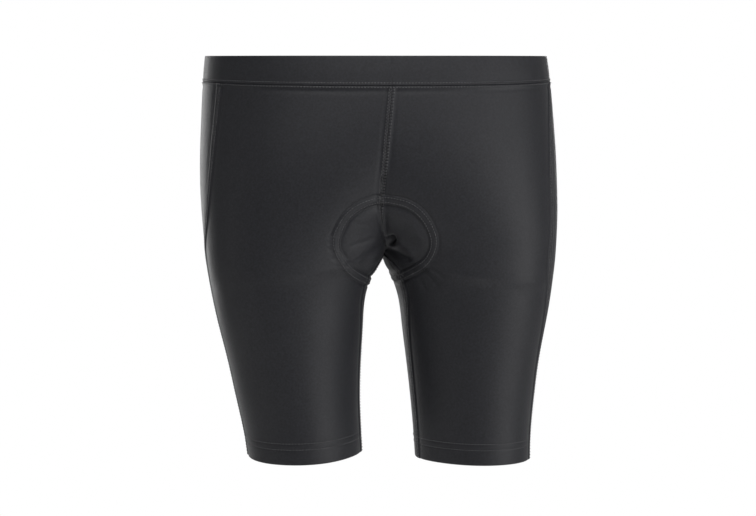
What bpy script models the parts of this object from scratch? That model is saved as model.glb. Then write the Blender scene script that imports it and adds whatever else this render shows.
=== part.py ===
# Pull-on cycling shorts, filled out as worn: four leg panels, an elastic waist casing and the seat pad.
# The origin is the middle of the waist opening. X runs to the wearer's left, Y to the back and Z up.
# All sizes below are millimetres; the meshes are made in metres.

import bpy
import bmesh
import numpy as np

MM = 0.001

# Walls and gaps
CLOTH_WALL = 1.5
HEM_WALL = 2.6
BAND_WALL = 2.4
SEAM_GAP = 0.3

# Waist casing: its top edge lies in a plane that is higher at the back and a little at the wearer's left
WAIST_SLOPE = 0.095
WAIST_ROLL = 0.011
BAND_HEIGHT_SIDE = 25.5
BAND_HEIGHT_FRONT = 29.0
BAND_HEIGHT_BACK = 28.0
BAND_FRONT_Y = -98.0
BAND_BACK_Y = 106.0

# Crotch point, just under the level where the two legs part, and the drop of its row at the side seam
CROTCH_DROP = 194.6
SIDE_DROP_AT_CROTCH = 226.0

# Hems: drop of each hem's middle, and how its plane tilts sideways and front to back
HEM_DROP = {"right": 394.8, "left": 400.3}
HEM_SIDE_TILT = {"right": 0.034, "left": 0.0}
HEM_FRONT_TILT = {"right": 0.11, "left": 0.065}
HEM_DEPTH = 20.0
HEM_STEP = 1.5

# Body sections, from the waist to the hem. half: from the middle line to the outer side.
# reach: the inner edge as a share of half, below zero where the two legs run together.
# front, back: the section's ends in Y. widest: Y of the side and inseam line.
# lean: how far the middle line has moved to the wearer's left. square: 2 is an ellipse.
SECTION_COLUMNS = ("drop", "half", "reach", "front", "back", "widest", "lean", "square")
SECTION_ROWS = (
    (-15, 170.5, -1.000, -95, 101, 0, -2.0, 2.35),
    (0, 171.0, -1.000, -96, 103, 0, -1.5, 2.35),
    (30, 173.8, -0.985, -98, 106, -1, -0.8, 2.35),
    (60, 175.7, -0.850, -100, 110, -3, -0.4, 2.32),
    (95, 177.2, -0.600, -101, 115, -7, -0.2, 2.30),
    (130, 177.4, -0.355, -100, 118, -12, 0.0, 2.27),
    (160, 176.2, -0.165, -97, 115, -17, 0.4, 2.24),
    (182, 174.5, -0.040, -94, 109, -20, 0.6, 2.20),
    (194, 173.4, 0.000, -92, 104, -21, 0.8, 2.18),
    (206, 172.0, 0.031, -91, 98, -21, 1.1, 2.16),
    (220, 170.0, 0.064, -90, 93, -20, 1.5, 2.14),
    (236, 167.5, 0.096, -88, 88, -19, 2.0, 2.12),
    (266, 161.8, 0.123, -84, 81, -17, 2.9, 2.10),
    (300, 154.3, 0.149, -79, 75, -14, 4.2, 2.08),
    (340, 147.2, 0.175, -74, 70, -11, 6.2, 2.06),
    (375, 141.8, 0.188, -70, 67, -9, 8.6, 2.05),
    (415, 138.8, 0.194, -67, 65, -8, 11.0, 2.05),
)

# Side seams: Y of each seam line down the leg, which differs a little as the shorts are turned on the body
SIDE_SEAM_COLUMNS = ("drop", "right", "left")
SIDE_SEAM_ROWS = (
    (0, -48, -30),
    (35, -49, -36),
    (70, -50, -46),
    (107, -51, -55),
    (150, -47, -60),
    (175, -39, -61),
    (200, -24, -61),
    (233, -13, -56),
    (280, -8, -46),
    (340, -6, -36),
    (415, -5, -28),
)

# Inseams: Y of the seam line, which starts at the crotch point and runs down in front of the innermost line
INSEAM_COLUMNS = ("drop", "y")
INSEAM_ROWS = ((185, -21), (194.6, -21), (204, -36), (216, -42), (234, -40), (262, -33), (325, -22), (415, -15))

# Centre-front seam: how far the worn seam wanders sideways at each drop
WANDER_COLUMNS = ("drop", "shift")
WANDER_ROWS = ((0, 4), (30, 3.5), (74, -1), (119, -5), (142, -7), (174, -3), (192, 3), (215, 2), (260, 0), (415, 0))
WANDER_WIDTH = 45.0
WANDER_FRONT = 60.0

# Seat pad: its outline along the crotch seam, its thickness and its place
PAD_COLUMNS = ("share", "half")
PAD_ROWS = (
    (0.00, 12),
    (0.03, 27),
    (0.08, 40),
    (0.17, 50),
    (0.27, 49),
    (0.36, 38),
    (0.45, 33),
    (0.56, 40),
    (0.68, 58),
    (0.80, 68),
    (0.90, 60),
    (0.97, 36),
    (1.00, 16),
)
PAD_AXIS_Y = 0.0
PAD_AXIS_DROP = 122.0
PAD_FRONT_ANGLE = 12.5
PAD_BACK_ANGLE = 190.0
PAD_CLEARANCE = 1.25
PAD_EDGE = 1.6
PAD_CORE = 7.0
PAD_RIDGE_LIMIT = 1.35

# Mesh density
ROWS_TO_CROTCH = 13
ROWS_TO_HEM = 13
ROWS_CROWD = 1.6
PANEL_COLUMNS = {"front": 16, "back": 20}
BAND_COLUMNS = 36
BAND_PROFILE = ((1.0, 0.0), (0.5, 0.0), (0.04, 0.0), (0.0, 0.3))
PAD_ROWS_MESH = 24
PAD_COLUMNS_MESH = 7
DENSE = 240


def table(columns, rows):
    """Turn the rows of a small table into one array for each named column."""
    return {name: np.array([row[i] for row in rows], float) for i, name in enumerate(columns)}


def spline(knots, values, at):
    """Natural cubic curve through (knots, values), read at the given places."""
    count = len(knots)
    step = np.diff(knots)
    system = np.eye(count)
    right = np.zeros(count)
    for i in range(1, count - 1):
        system[i, i - 1 : i + 2] = step[i - 1], 2 * (step[i - 1] + step[i]), step[i]
        right[i] = 6 * ((values[i + 1] - values[i]) / step[i] - (values[i] - values[i - 1]) / step[i - 1])
    bend = np.linalg.solve(system, right)
    at = np.clip(at, knots[0], knots[-1])
    i = np.clip(np.searchsorted(knots, at) - 1, 0, count - 2)
    h, a, b = step[i], knots[i + 1] - at, at - knots[i]
    curve = (bend[i] * a**3 + bend[i + 1] * b**3) / (6 * h)
    return curve + (values[i] / h - bend[i] * h / 6) * a + (values[i + 1] / h - bend[i + 1] * h / 6) * b


SECTIONS = table(SECTION_COLUMNS, SECTION_ROWS)
SIDE_SEAM = table(SIDE_SEAM_COLUMNS, SIDE_SEAM_ROWS)
INSEAM = table(INSEAM_COLUMNS, INSEAM_ROWS)
WANDER = table(WANDER_COLUMNS, WANDER_ROWS)
PAD_OUTLINE = table(PAD_COLUMNS, PAD_ROWS)


def section(z):
    """Centre, half width, front and back depth, widest line and squareness of a leg's section at height z."""
    read = {name: spline(SECTIONS["drop"], SECTIONS[name], -z) for name in SECTION_COLUMNS[1:]}
    inner = read["reach"] * read["half"]
    return {
        "centre": (read["half"] + inner) / 2,
        "radius": (read["half"] - inner) / 2,
        "widest": read["widest"],
        "front": read["widest"] - read["front"],
        "back": read["back"] - read["widest"],
        "square": read["square"],
    }


def on_section(z, turn):
    """Point of the wearer's left leg: turn is pi at the inseam, pi/2 in front, 0 at the side, below 0 behind."""
    s = section(z)
    power = 2 / s["square"]
    cosine, sine = np.cos(turn), np.sin(turn)
    depth = np.where(sine > 0, s["front"], s["back"])
    x = s["centre"] + s["radius"] * np.sign(cosine) * np.abs(cosine) ** power
    y = s["widest"] - depth * np.sign(sine) * np.abs(sine) ** power
    return np.stack([x, y, np.broadcast_to(z, x.shape)], axis=-1)


def turn_to(s, away):
    """Turn from the widest line to a line that lies away in front of it, or behind it where away is below 0."""
    depth = np.where(away > 0, s["front"], s["back"])
    return np.sign(away) * np.arcsin(np.minimum((np.abs(away) / depth) ** (s["square"] / 2), 1))


def inner_turn(z, face):
    """Turn at which a panel ends: at the middle plane above the crotch, at the inseam below it."""
    s = section(z)
    half_gap = SEAM_GAP / 2
    towards_panel = 1 if face == "front" else -1
    share = np.clip((s["centre"] - half_gap) / s["radius"], -1, 1)
    at_middle = np.arccos(-np.sign(share) * np.abs(share) ** (s["square"] / 2))
    ahead = s["widest"] - spline(INSEAM["drop"], INSEAM["y"], -z) + towards_panel * half_gap
    at_inseam = np.pi - towards_panel * turn_to(s, ahead)
    parted = s["centre"] - s["radius"] > half_gap
    return towards_panel * np.where(parted, at_inseam, at_middle)


def side_turn(z, side):
    """Turn of the side seam."""
    s = section(z)
    return turn_to(s, s["widest"] - spline(SIDE_SEAM["drop"], SIDE_SEAM[side], -z))


def level(point):
    """Value that is 1 on the cloth's outer face, less inside a leg and more outside."""
    x, y, z = point[..., 0], point[..., 1], point[..., 2]
    s = section(z)
    depth = np.where(y < s["widest"], s["front"], s["back"])
    across = np.abs((x - s["centre"]) / s["radius"]) ** s["square"]
    along = np.abs((y - s["widest"]) / depth) ** s["square"]
    return across + along


def slope(point):
    """Gradient of level, by central differences."""
    step = 0.05
    parts = []
    for axis in range(3):
        move = np.zeros(3)
        move[axis] = step
        parts.append((level(point + move) - level(point - move)) / (2 * step))
    return np.stack(parts, axis=-1)


def outward(point):
    """Unit normal of the outer face."""
    g = slope(point)
    return g / np.linalg.norm(g, axis=-1, keepdims=True)


def worn(point, side):
    """Place a point of the wearer's left half on its own side, with the lean and the wandering front seam."""
    out = point.copy()
    drop = -point[..., 2]
    front = np.clip(-point[..., 1] / WANDER_FRONT, 0, 1)
    near = np.exp(-((point[..., 0] / WANDER_WIDTH) ** 2))
    mirror = 1 if side == "left" else -1
    shift = spline(WANDER["drop"], WANDER["shift"], drop) * near * front * front * (3 - 2 * front)
    out[..., 0] = mirror * point[..., 0] + shift + spline(SECTIONS["drop"], SECTIONS["lean"], drop)
    return out


def waist_top(point, side):
    """Height of the waist's plane over a point of the left half."""
    mirror = 1 if side == "left" else -1
    return WAIST_SLOPE * point[..., 1] + WAIST_ROLL * mirror * point[..., 0]


def band_height(y):
    """Height of the casing: lowest at the sides."""
    front = BAND_HEIGHT_SIDE + (BAND_HEIGHT_FRONT - BAND_HEIGHT_SIDE) * (y / BAND_FRONT_Y) ** 2
    back = BAND_HEIGHT_SIDE + (BAND_HEIGHT_BACK - BAND_HEIGHT_SIDE) * (y / BAND_BACK_Y) ** 2
    return np.where(y < 0, front, back)


def waist_seam(point, side):
    return waist_top(point, side) - band_height(point[..., 1])


def hem_height(point, side):
    """Height of the hem's plane under a point of the left half."""
    mirror = 1 if side == "left" else -1
    s = section(point[..., 2])
    sideways = HEM_SIDE_TILT[side] * mirror * (point[..., 0] - s["centre"])
    return -HEM_DROP[side] + sideways + HEM_FRONT_TILT[side] * (point[..., 1] - s["widest"])


def crotch_shares(face, count):
    """Shares of the height from the waist seam to the crotch that step evenly along the rise seam."""
    share = np.linspace(0, 1, 400)
    bottom = -CROTCH_DROP
    end_y = BAND_FRONT_Y if face == "front" else BAND_BACK_Y
    top = waist_seam(np.array([0.0, end_y, 0.0]), "left")
    z = top + (bottom - top) * (1 - (1 - share) ** 2)
    curve = on_section(z, inner_turn(z, face))
    walked = np.concatenate([[0], np.cumsum(np.linalg.norm(np.diff(curve, axis=0), axis=1))])
    return np.interp(np.linspace(0, walked[-1], count + 1), walked, (z - top) / (bottom - top))


def row_heights(face):
    """Rows of a panel as (part, share at the rise seam or inseam, share at the side seam), closer by the crotch."""
    even = np.linspace(0, 1, ROWS_TO_CROTCH + 1)
    rise = crotch_shares(face, ROWS_TO_CROTCH)
    upper = [("upper", rise[i], even[i]) for i in range(ROWS_TO_CROTCH + 1)]
    lower = [("lower", q, q) for q in np.linspace(0, 1, ROWS_TO_HEM + 1)[1:] ** ROWS_CROWD]
    return upper, lower


def row_line(face, side, part, at_inner, at_side, raised=0.0):
    """Dense line of a panel's row, from its inner edge to the side seam, on the outer face."""
    u = np.linspace(0, 1, DENSE)
    ease = 1 - (1 - u) ** 2
    middle = -CROTCH_DROP - (SIDE_DROP_AT_CROTCH - CROTCH_DROP) * ease
    share = at_inner + (at_side - at_inner) * ease
    z = middle.copy()
    for _ in range(6):
        start, end = inner_turn(z[:1], face), side_turn(z[-1:], side)
        line = on_section(z, start + (end - start) * u)
        if part == "upper":
            top = waist_seam(line, side) - SEAM_GAP
            z = top + (middle - top) * share
        else:
            hem = hem_height(line, side)
            z = middle + (hem - middle) * share + raised
    start, end = inner_turn(z[:1], face), side_turn(z[-1:], side)
    return on_section(z, start + (end - start) * u)


def resample(line, count, cut):
    """count + 1 even points of a line, with cut left off at its end."""
    walked = np.concatenate([[0], np.cumsum(np.linalg.norm(np.diff(line, axis=0), axis=1))])
    places = np.linspace(0, walked[-1] - cut, count + 1)
    return np.stack([np.interp(places, walked, line[:, k]) for k in range(3)], axis=-1)


def panel_grids(face, side):
    """Outer and inner grids of one panel, rows from the waist seam to the hem."""
    upper, lower = row_heights(face)
    rows = [(row_line(face, side, *row), CLOTH_WALL) for row in upper]
    hem_share = 1 - (HEM_DEPTH + HEM_STEP) / (HEM_DROP[side] - CROTCH_DROP)
    for row in lower:
        if row[1] < hem_share - 0.02:
            rows.append((row_line(face, side, *row), CLOTH_WALL))
    rows.append((row_line(face, side, "lower", 1.0, 1.0, HEM_DEPTH + HEM_STEP), CLOTH_WALL))
    rows.append((row_line(face, side, "lower", 1.0, 1.0, HEM_DEPTH), HEM_WALL))
    rows.append((row_line(face, side, "lower", 1.0, 1.0, HEM_DEPTH / 2), HEM_WALL))
    rows.append((row_line(face, side, "lower", 1.0, 1.0), HEM_WALL))
    outer = np.stack([resample(line, PANEL_COLUMNS[face], SEAM_GAP / 2) for line, _ in rows])
    wall = np.array([thick for _, thick in rows])[:, None, None]
    return outer, outer - outward(outer) * wall


def wall_mesh(name, outer, inner, closed=False):
    """Closed solid between two grids of the same size; closed joins the last column to the first."""
    rows, columns = outer.shape[:2]
    points = np.concatenate([outer.reshape(-1, 3), inner.reshape(-1, 3)]) * MM
    shell = rows * columns
    across = columns if closed else columns - 1
    faces = []
    for r in range(rows - 1):
        for c in range(across):
            a, b = r * columns + c, r * columns + (c + 1) % columns
            d, e = a + columns, b + columns
            faces += [(a, d, e), (a, e, b)]
            faces += [(a + shell, e + shell, d + shell), (a + shell, b + shell, e + shell)]
    for c in range(across):
        for r in (0, rows - 1):
            a, b = r * columns + c, r * columns + (c + 1) % columns
            faces += [(a, b, b + shell), (a, b + shell, a + shell)]
    if not closed:
        for r in range(rows - 1):
            for c in (0, columns - 1):
                a = r * columns + c
                d = a + columns
                faces += [(a, d, d + shell), (a, d + shell, a + shell)]
    mesh = bpy.data.meshes.new(name)
    mesh.from_pydata(points.tolist(), [], faces)
    work = bmesh.new()
    work.from_mesh(mesh)
    bmesh.ops.recalc_face_normals(work, faces=work.faces)
    work.to_mesh(mesh)
    work.free()
    mesh.shade_smooth()
    mesh.set_sharp_from_angle(angle=0.7)
    piece = bpy.data.objects.new(name, mesh)
    bpy.context.scene.collection.objects.link(piece)
    return piece


def make_panel(name, face, side, material):
    outer, inner = panel_grids(face, side)
    piece = wall_mesh(name, worn(outer, side), worn(inner, side))
    piece.data.materials.append(material)
    return piece


def band_half(side, share, inset):
    """Half ring of the casing from front to back, at a share of its height and moved in by inset."""
    u = np.linspace(0, 1, DENSE)
    z = np.zeros(DENSE)
    for _ in range(6):
        start, end = inner_turn(z[:1], "front"), inner_turn(z[-1:], "back")
        half = on_section(z, start + (end - start) * u)
        z = waist_top(half, side) - share * band_height(half[:, 1])
    half = resample(half, BAND_COLUMNS, 0)
    half = half - outward(half) * inset
    half[[0, -1], 0] = 0
    return worn(half, side)


def band_ring(share, inset):
    """Full ring of the casing: the left half, then the right half backwards."""
    return np.concatenate([band_half("left", share, inset), band_half("right", share, inset)[1:-1][::-1]])


def make_band(material):
    """Folded casing: two faces joined by a rounded top edge and a flat lower edge."""
    outer = np.stack([band_ring(share, round_in * BAND_WALL) for share, round_in in BAND_PROFILE])
    inner = np.stack([band_ring(share, (1 - round_in) * BAND_WALL) for share, round_in in BAND_PROFILE])
    piece = wall_mesh("waistband", outer, inner, closed=True)
    piece.data.materials.append(material)
    return piece


def pad_lines():
    """Lines on the cloth's outer face, each in a plane through an axis along X, from the middle outwards."""
    angle = np.radians(np.linspace(PAD_FRONT_ANGLE, PAD_BACK_ANGLE, PAD_ROWS_MESH + 1))
    down = np.stack([0 * angle, -np.cos(angle), -np.sin(angle)], axis=-1)
    hub = np.array([0.0, PAD_AXIS_Y, -PAD_AXIS_DROP])
    low, high = np.zeros(len(angle)), np.full(len(angle), 200.0)
    for _ in range(40):
        half = (low + high) / 2
        inside = level(hub + down * half[:, None]) < 1
        low, high = np.where(inside, half, low), np.where(inside, high, half)
    point = hub + down * low[:, None]
    walked = np.concatenate([[0], np.cumsum(np.linalg.norm(np.diff(point, axis=0), axis=1))])
    half_width = spline(PAD_OUTLINE["share"], PAD_OUTLINE["half"], walked / walked[-1])
    aside = np.array([1.0, 0.0, 0.0])
    lines = [point]
    small = 6
    for _ in range(PAD_COLUMNS_MESH * small):
        g = slope(point)
        g_aside = g[:, :1]
        g_down = np.sum(g * down, axis=1, keepdims=True)
        step = aside * g_down - down * g_aside
        step /= np.linalg.norm(step, axis=1, keepdims=True)
        point = point + step * (half_width / (PAD_COLUMNS_MESH * small))[:, None]
        for _ in range(2):
            g = slope(point)
            in_plane = aside * g[:, :1] + down * np.sum(g * down, axis=1, keepdims=True)
            miss = (level(point) - 1)[:, None]
            point = point - in_plane * miss / np.sum(in_plane**2, axis=1, keepdims=True)
        lines.append(point)
    return np.stack(lines[::small], axis=1)


def pad_face(lines, inset, ridge_limit):
    """The lines moved in by inset, with the middle one mitred over the crotch ridge."""
    normal = outward(lines)
    out = lines - normal * inset[None, :, None]
    flat = normal[:, 0].copy()
    flat[:, 0] = 0
    lean = np.linalg.norm(flat, axis=1, keepdims=True)
    out[:, 0] = lines[:, 0] - flat / lean * inset[0] * np.minimum(1 / lean, ridge_limit)
    return out


def make_pad(material):
    """Moulded pad on the inside of the panels, thin at its stitched edge."""
    lines = pad_lines()
    across = np.linspace(0, 1, PAD_COLUMNS_MESH + 1)
    contact = np.full(PAD_COLUMNS_MESH + 1, CLOTH_WALL + PAD_CLEARANCE)
    thick = PAD_EDGE + (PAD_CORE - PAD_EDGE) * (1 - across**3)
    no_limit = 1e3
    under = pad_face(lines, contact, no_limit)
    ends = np.sin(np.pi * np.linspace(0, 1, PAD_ROWS_MESH + 1)) ** 0.4
    upper = pad_face(lines, contact + PAD_EDGE, PAD_RIDGE_LIMIT)
    full = pad_face(lines, contact + thick, PAD_RIDGE_LIMIT)
    upper = upper + (full - upper) * ends[:, None, None]
    grids = []
    for grid in (under, upper):
        left, right = worn(grid, "left"), worn(grid, "right")
        grids.append(np.concatenate([right[:, ::-1][:, :-1], left], axis=1))
    piece = wall_mesh("seat_pad", grids[0], grids[1])
    piece.data.materials.append(material)
    return piece


def make_material(name, color, roughness):
    material = bpy.data.materials.new(name)
    material.use_nodes = True
    shader = material.node_tree.nodes["Principled BSDF"]
    shader.inputs["Base Color"].default_value = (*color, 1.0)
    shader.inputs["Roughness"].default_value = roughness
    shader.inputs["Metallic"].default_value = 0.0
    material.diffuse_color = (*color, 1.0)
    return material


def clear_scene():
    for thing in list(bpy.data.objects):
        bpy.data.objects.remove(thing, do_unlink=True)


def main():
    clear_scene()
    for side in ("right", "left"):
        for face in ("front", "back"):
            name = face + "_" + side
            make_panel(name, face, side, make_material(name + "_knit", (0.022, 0.022, 0.025), 0.42))
    make_band(make_material("waistband_knit", (0.026, 0.026, 0.029), 0.5))
    make_pad(make_material("pad_foam", (0.05, 0.05, 0.055), 0.85))


main()
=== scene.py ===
import math

import bpy
import numpy as np
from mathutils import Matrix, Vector


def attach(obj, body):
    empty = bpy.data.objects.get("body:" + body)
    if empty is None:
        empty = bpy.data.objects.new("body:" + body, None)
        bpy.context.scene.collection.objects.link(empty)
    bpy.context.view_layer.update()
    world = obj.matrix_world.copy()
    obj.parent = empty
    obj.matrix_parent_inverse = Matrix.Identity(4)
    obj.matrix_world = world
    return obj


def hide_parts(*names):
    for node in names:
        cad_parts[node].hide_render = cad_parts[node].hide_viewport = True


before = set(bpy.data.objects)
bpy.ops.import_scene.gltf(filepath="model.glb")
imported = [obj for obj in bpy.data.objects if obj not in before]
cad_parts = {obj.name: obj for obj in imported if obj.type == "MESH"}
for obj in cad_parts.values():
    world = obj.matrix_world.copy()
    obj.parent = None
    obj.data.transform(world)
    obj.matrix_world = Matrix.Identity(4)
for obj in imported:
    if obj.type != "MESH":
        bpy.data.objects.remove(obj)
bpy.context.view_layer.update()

# Padded cycling shorts, filled out as worn. Sizes here are millimetres and the meshes are metres.
# The waist opening is at zero, x runs to the wearer's left, y to the back and z up.
mm = 0.001

# The filled-out body by its drop below the waist. half is middle line to outer side, reach the inner edge
# as a share of half, front and back the ends in y, widest the y of side and inseam, lean the middle's drift
body = {
    "drop": (-15, 0, 30, 60, 95, 130, 160, 182, 194, 206, 220, 236, 266, 300, 340, 375, 415),
    "half": (
        170.5, 171, 173.8, 175.7, 177.2, 177.4, 176.2, 174.5, 173.4,
        172, 170, 167.5, 161.8, 154.3, 147.2, 141.8, 138.8,
    ),
    "reach": (
        -1, -1, -0.985, -0.85, -0.6, -0.355, -0.165, -0.04, 0,
        0.031, 0.064, 0.096, 0.123, 0.149, 0.175, 0.188, 0.194,
    ),
    "front": (-95, -96, -98, -100, -101, -100, -97, -94, -92, -91, -90, -88, -84, -79, -74, -70, -67),
    "back": (101, 103, 106, 110, 115, 118, 115, 109, 104, 98, 93, 88, 81, 75, 70, 67, 65),
    "widest": (0, 0, -1, -3, -7, -12, -17, -20, -21, -21, -20, -19, -17, -14, -11, -9, -8),
    "lean": (-2, -1.5, -0.8, -0.4, -0.2, 0, 0.4, 0.6, 0.8, 1.1, 1.5, 2, 2.9, 4.2, 6.2, 8.6, 11),
    "square": (
        2.35, 2.35, 2.35, 2.32, 2.3, 2.27, 2.24, 2.2, 2.18, 2.16, 2.14, 2.12, 2.1, 2.08, 2.06, 2.05, 2.05,
    ),
}
# where the panels meet, as y by drop: the shorts are turned a little on the body, so the side seams differ
sideSeam = {
    "drop": (0, 35, 70, 107, 150, 175, 200, 233, 280, 340, 415),
    "right": (-48, -49, -50, -51, -47, -39, -24, -13, -8, -6, -5),
    "left": (-30, -36, -46, -55, -60, -61, -61, -56, -46, -36, -28),
}
inseam = {
    "drop": (185, 194.6, 204, 216, 234, 262, 325, 415),
    "y": (-21, -21, -36, -42, -40, -33, -22, -15),
}
# how the front seam wanders sideways, and how far from the middle the cloth follows it
wander = {
    "drop": (0, 30, 74, 119, 142, 174, 192, 215, 260, 415),
    "shift": (4, 3.5, -1, -5, -7, -3, 3, 2, 0, 0),
}
wanderReach = {"width": 45, "front": 60}

# heights and slopes of waist, crotch and hems; settle is how often a row's height is worked out again
settle = 6
cut = {
    "waistSlope": 0.095,
    "waistRoll": 0.011,
    "bandSide": 25.5,
    "bandFront": 29.0,
    "bandBack": 28.0,
    "bandFrontY": -98.0,
    "bandBackY": 106.0,
    "crotchDrop": 194.6,
    "sideDropAtCrotch": 226.0,
    "hemDrop": {"right": 394.8, "left": 400.3},
    "hemSideTilt": {"right": 0.034, "left": 0.0},
    "hemFrontTilt": {"right": 0.11, "left": 0.065},
    "seamGap": 0.06,
}


def makeCurve(knots, values):
    # natural cubic through the knots: the second derivatives solve a three-band system
    x, v = np.array(knots, float), np.array(values, float)
    h = np.diff(x)
    system = np.eye(len(x))
    k = np.arange(1, len(x) - 1)
    system[k, k - 1], system[k, k], system[k, k + 1] = h[k - 1], 2 * (h[k - 1] + h[k]), h[k]
    right = np.zeros(len(x))
    right[k] = 6 * ((v[k + 1] - v[k]) / h[k] - (v[k] - v[k - 1]) / h[k - 1])
    return x, v, np.linalg.solve(system, right)


def readCurve(curve, at):
    # cubic between two knots from their values and second derivatives
    x, v, bend = curve
    at = np.clip(at, x[0], x[-1])
    i = np.clip(np.searchsorted(x, at) - 1, 0, len(x) - 2)
    h, a, b = x[i + 1] - x[i], x[i + 1] - at, at - x[i]
    cubic = (bend[i] * a**3 + bend[i + 1] * b**3) / (6 * h)
    return cubic + (v[i] / h - bend[i] * h / 6) * a + (v[i + 1] / h - bend[i + 1] * h / 6) * b


bodyCurves = {name: makeCurve(body["drop"], values) for name, values in body.items() if name != "drop"}
sideSeamCurves = {side: makeCurve(sideSeam["drop"], sideSeam[side]) for side in ("right", "left")}
inseamCurve = makeCurve(inseam["drop"], inseam["y"])
wanderCurve = makeCurve(wander["drop"], wander["shift"])


def legSection(z):
    # centre and radius from the outer and inner edges, depths from the widest line
    s = {name: readCurve(curve, -z) for name, curve in bodyCurves.items() if name != "lean"}
    inner = s["reach"] * s["half"]
    return {
        "centre": (s["half"] + inner) / 2,
        "radius": (s["half"] - inner) / 2,
        "widest": s["widest"],
        "front": s["widest"] - s["front"],
        "back": s["back"] - s["widest"],
        "square": s["square"],
    }


def onSection(z, turn):
    # superellipse: x = centre + radius cos^(2/n), y = widest - depth sin^(2/n); turn is pi at the inseam
    s = legSection(z)
    power = 2 / s["square"]
    c, n = np.cos(turn), np.sin(turn)
    depth = np.where(n > 0, s["front"], s["back"])
    x = s["centre"] + s["radius"] * np.sign(c) * np.abs(c) ** power
    y = s["widest"] - depth * np.sign(n) * np.abs(n) ** power
    return np.stack([x, y, z + 0 * x], axis=-1)


def turnTo(s, away):
    # arcsin((|away| / depth)^(n/2)), from the widest line forwards, or backwards when away is below zero
    depth = np.where(away > 0, s["front"], s["back"])
    return np.sign(away) * np.arcsin(np.minimum((np.abs(away) / depth) ** (s["square"] / 2), 1))


def innerTurn(z, face):
    # the turn where x is half a seam gap above the crotch, and the inseam's turn where the legs have parted
    s = legSection(z)
    gap = cut["seamGap"] / 2
    facing = 1 if face == "front" else -1
    share = np.clip((s["centre"] - gap) / s["radius"], -1, 1)
    atMiddle = np.arccos(-np.sign(share) * np.abs(share) ** (s["square"] / 2))
    atInseam = np.pi - facing * turnTo(s, s["widest"] - readCurve(inseamCurve, -z) + facing * gap)
    return facing * np.where(s["centre"] - s["radius"] > gap, atInseam, atMiddle)


def sideTurn(z, side):
    # the turn whose y is the side seam's
    s = legSection(z)
    return turnTo(s, s["widest"] - readCurve(sideSeamCurves[side], -z))


def level(p):
    # |(x - centre) / radius|^n + |(y - widest) / depth|^n, which is 1 on the cloth
    s = legSection(p[..., 2])
    depth = np.where(p[..., 1] < s["widest"], s["front"], s["back"])
    across = np.abs((p[..., 0] - s["centre"]) / s["radius"]) ** s["square"]
    return across + np.abs((p[..., 1] - s["widest"]) / depth) ** s["square"]


def slope(p):
    # central differences of level along x, y and z
    moves = 0.05 * np.eye(3)
    return np.stack([(level(p + move) - level(p - move)) / 0.1 for move in moves], axis=-1)


def unit(v):
    # v / |v|
    return v / np.maximum(np.linalg.norm(v, axis=-1, keepdims=True), 1e-9)


mirror = {"left": 1, "right": -1}


def mirrored(n, side):
    # normals of the wearer's right side have their x turned round
    return n * [mirror[side], 1, 1]


def worn(p, side):
    # mirror to the side, then x + lean(drop) + wander(drop) exp(-(x/width)^2) smooth(front share)
    front = np.clip(-p[..., 1] / wanderReach["front"], 0, 1)
    near = np.exp(-((p[..., 0] / wanderReach["width"]) ** 2))
    shift = readCurve(wanderCurve, -p[..., 2]) * near * front * front * (3 - 2 * front)
    out = p.copy()
    lean = readCurve(bodyCurves["lean"], -p[..., 2])
    out[..., 0] = mirror[side] * p[..., 0] + shift + lean
    return out


def waistTop(p, side):
    # plane that rises to the back and to the wearer's left
    return cut["waistSlope"] * p[..., 1] + cut["waistRoll"] * mirror[side] * p[..., 0]


def bandHeight(y):
    # lowest at the sides, growing with the square of y to the front and to the back
    front = cut["bandSide"] + (cut["bandFront"] - cut["bandSide"]) * (y / cut["bandFrontY"]) ** 2
    back = cut["bandSide"] + (cut["bandBack"] - cut["bandSide"]) * (y / cut["bandBackY"]) ** 2
    return np.where(y < 0, front, back)


def waistSeam(p, side):
    # the waist's top less the band's height
    return waistTop(p, side) - bandHeight(p[..., 1])


def hemHeight(p, side):
    # plane through the leg's middle, tilted sideways and front to back
    s = legSection(p[..., 2])
    sideways = cut["hemSideTilt"][side] * mirror[side] * (p[..., 0] - s["centre"])
    return -cut["hemDrop"][side] + sideways + cut["hemFrontTilt"][side] * (p[..., 1] - s["widest"])


def walked(lines):
    # distance along each line, zero at its start
    steps = np.linalg.norm(np.diff(lines, axis=-2), axis=-1)
    return np.concatenate([np.zeros(steps.shape[:-1] + (1,)), np.cumsum(steps, axis=-1)], axis=-1)


def resample(lines, places):
    # linear reading of every line at its own distances, done in one go by putting the lines end to end
    along = walked(lines)
    offset = (np.arange(len(lines)) * (along.max() + 10))[:, None]
    flatPlaces, flatAlong = (places + offset).ravel(), (along + offset).ravel()
    read = [np.interp(flatPlaces, flatAlong, lines[..., k].ravel()) for k in range(3)]
    return np.stack(read, axis=-1).reshape(places.shape + (3,))


# Panels: how fine their grids are and how far their flat seams stand
panel = {
    "dense": 320,
    "edgeStep": 0.7,
    "edgeZone": 6.3,
    "fineStep": 1.15,
    "fineZone": 64,
    "riseZone": 102.4,
    "inseamZone": 46,
    "coarseStep": 2.5,
    "hemZone": 26,
    "hemSpare": 2,
    "hemStep": 1.0,
    "hemEdge": 2,
    "hemEdgeStep": 0.4,
    "wall": 1.0,
    "hemWall": 1.9,
}


def crotchShares(face, lengthsFromCrotch):
    # shares of the height from waist seam to crotch whose points lie at the given lengths from the crotch
    share = np.linspace(0, 1, 900)
    endY = cut["bandFrontY"] if face == "front" else cut["bandBackY"]
    top = waistSeam(np.array([0.0, endY, 0.0]), "left")
    z = top + (-cut["crotchDrop"] - top) * (1 - (1 - share) ** 2)
    along = walked(onSection(z, innerTurn(z, face)))
    return np.interp(lengthsFromCrotch(along[-1]), along, (z - top) / (-cut["crotchDrop"] - top)), along[-1]


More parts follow.
